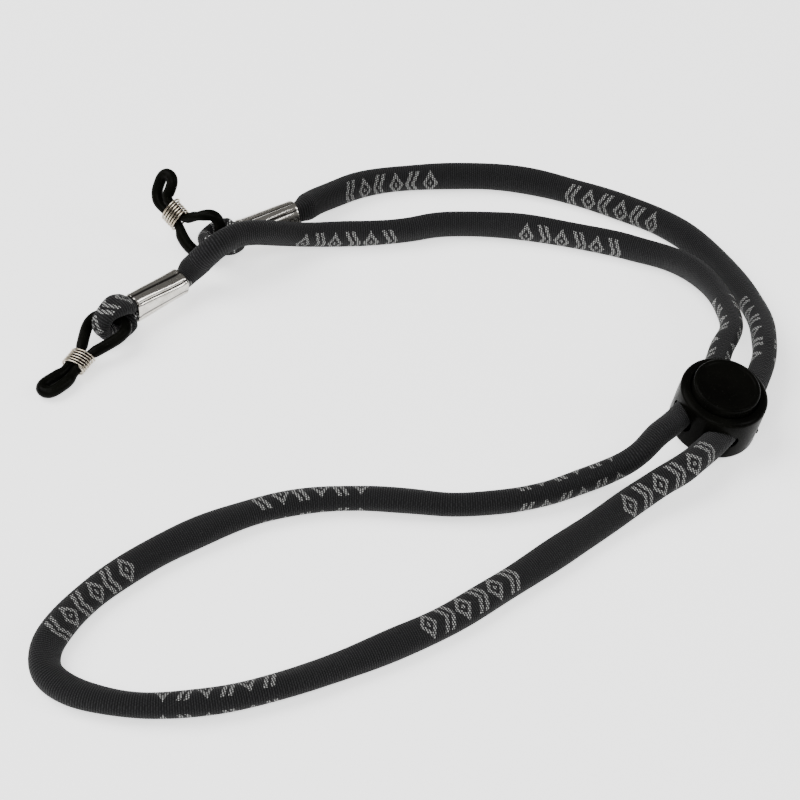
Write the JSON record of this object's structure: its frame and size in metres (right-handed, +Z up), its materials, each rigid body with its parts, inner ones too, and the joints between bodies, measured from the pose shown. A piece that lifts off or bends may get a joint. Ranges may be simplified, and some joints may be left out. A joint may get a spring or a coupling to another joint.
{
  "type": "eyeglass retainer strap",
  "caption": "Soft woven neck cord with a sliding cord lock; each end has a crimped metal ferrule and a rubber temple loop held by a wire coil.",
  "frame": {"origin": "on the table under the middle of the hard parts (lock, ferrules, rubber loops), without the free cord", "axes": "+X from the temple loops towards the cord lock, +Y away from the neck loop, +Z up from the table"},
  "size_m": [0.1521, 0.1594, 0.0159],
  "materials": {
    "woven_cord": "tubular polyester weave with fine crosswise ribs and a light grey dotted pattern on two opposite sides",
    "nickel": "bright plated, pressed flat, fine lengthwise marks",
    "black_rubber": "smooth moulded, satin",
    "coil_wire": "bright drawn wire, faint warm tint",
    "black_plastic": "semi-gloss moulded",
    "spring_steel": "plain spring steel"
  },
  "bodies": {
    "root": {"cord": "woven_cord", "cord_eye_a": "woven_cord", "cord_eye_b": "woven_cord", "ferrule_a": "nickel", "ferrule_b": "nickel"},
    "lock": {"lock_body": "black_plastic", "lock_spring": "spring_steel"},
    "button": {"lock_button": "black_plastic"},
    "rubber_a": {"rubber_loop_a": "black_rubber"},
    "coil_a": {"wire_coil_a": "coil_wire"},
    "rubber_b": {"rubber_loop_b": "black_rubber"},
    "coil_b": {"wire_coil_b": "coil_wire"}
  },
  "joints": [
    {"name": "lock_travel", "type": "hinge", "parent": "root", "child": "lock", "pos_m": [0.01219, 0.00224, 0.02039], "axis": [0.1724, -0.12, 0.9777], "range_deg": [-6, 6]},
    {"name": "button_press", "type": "slide", "parent": "lock", "child": "button", "axis": [-0.1724, 0.12, -0.9777], "range_m": [0, 0.0016], "stiffness_N_per_m": 1500, "springref_m": -0.001, "deforming": ["lock_spring"]},
    {"name": "rubber_a_swivel", "type": "hinge", "parent": "root", "child": "rubber_a", "pos_m": [-0.05868, -0.00148, 0.00485], "axis": [0.6947, -0.7193, 0], "range_deg": [-40, 30]},
    {"name": "coil_a_slide", "type": "slide", "parent": "rubber_a", "child": "coil_a", "axis": [-0.5083, -0.8459, -0.1616], "range_m": [0, 0.001]},
    {"name": "rubber_b_swivel", "type": "hinge", "parent": "root", "child": "rubber_b", "pos_m": [-0.03822, 0.02359, 0.00613], "axis": [-0.171, 0.2962, 0.9397], "range_deg": [-25, 40]},
    {"name": "coil_b_slide", "type": "slide", "parent": "rubber_b", "child": "coil_b", "axis": [-0.6613, 0.673, 0.3314], "range_m": [0, 0.001]}
  ]
}
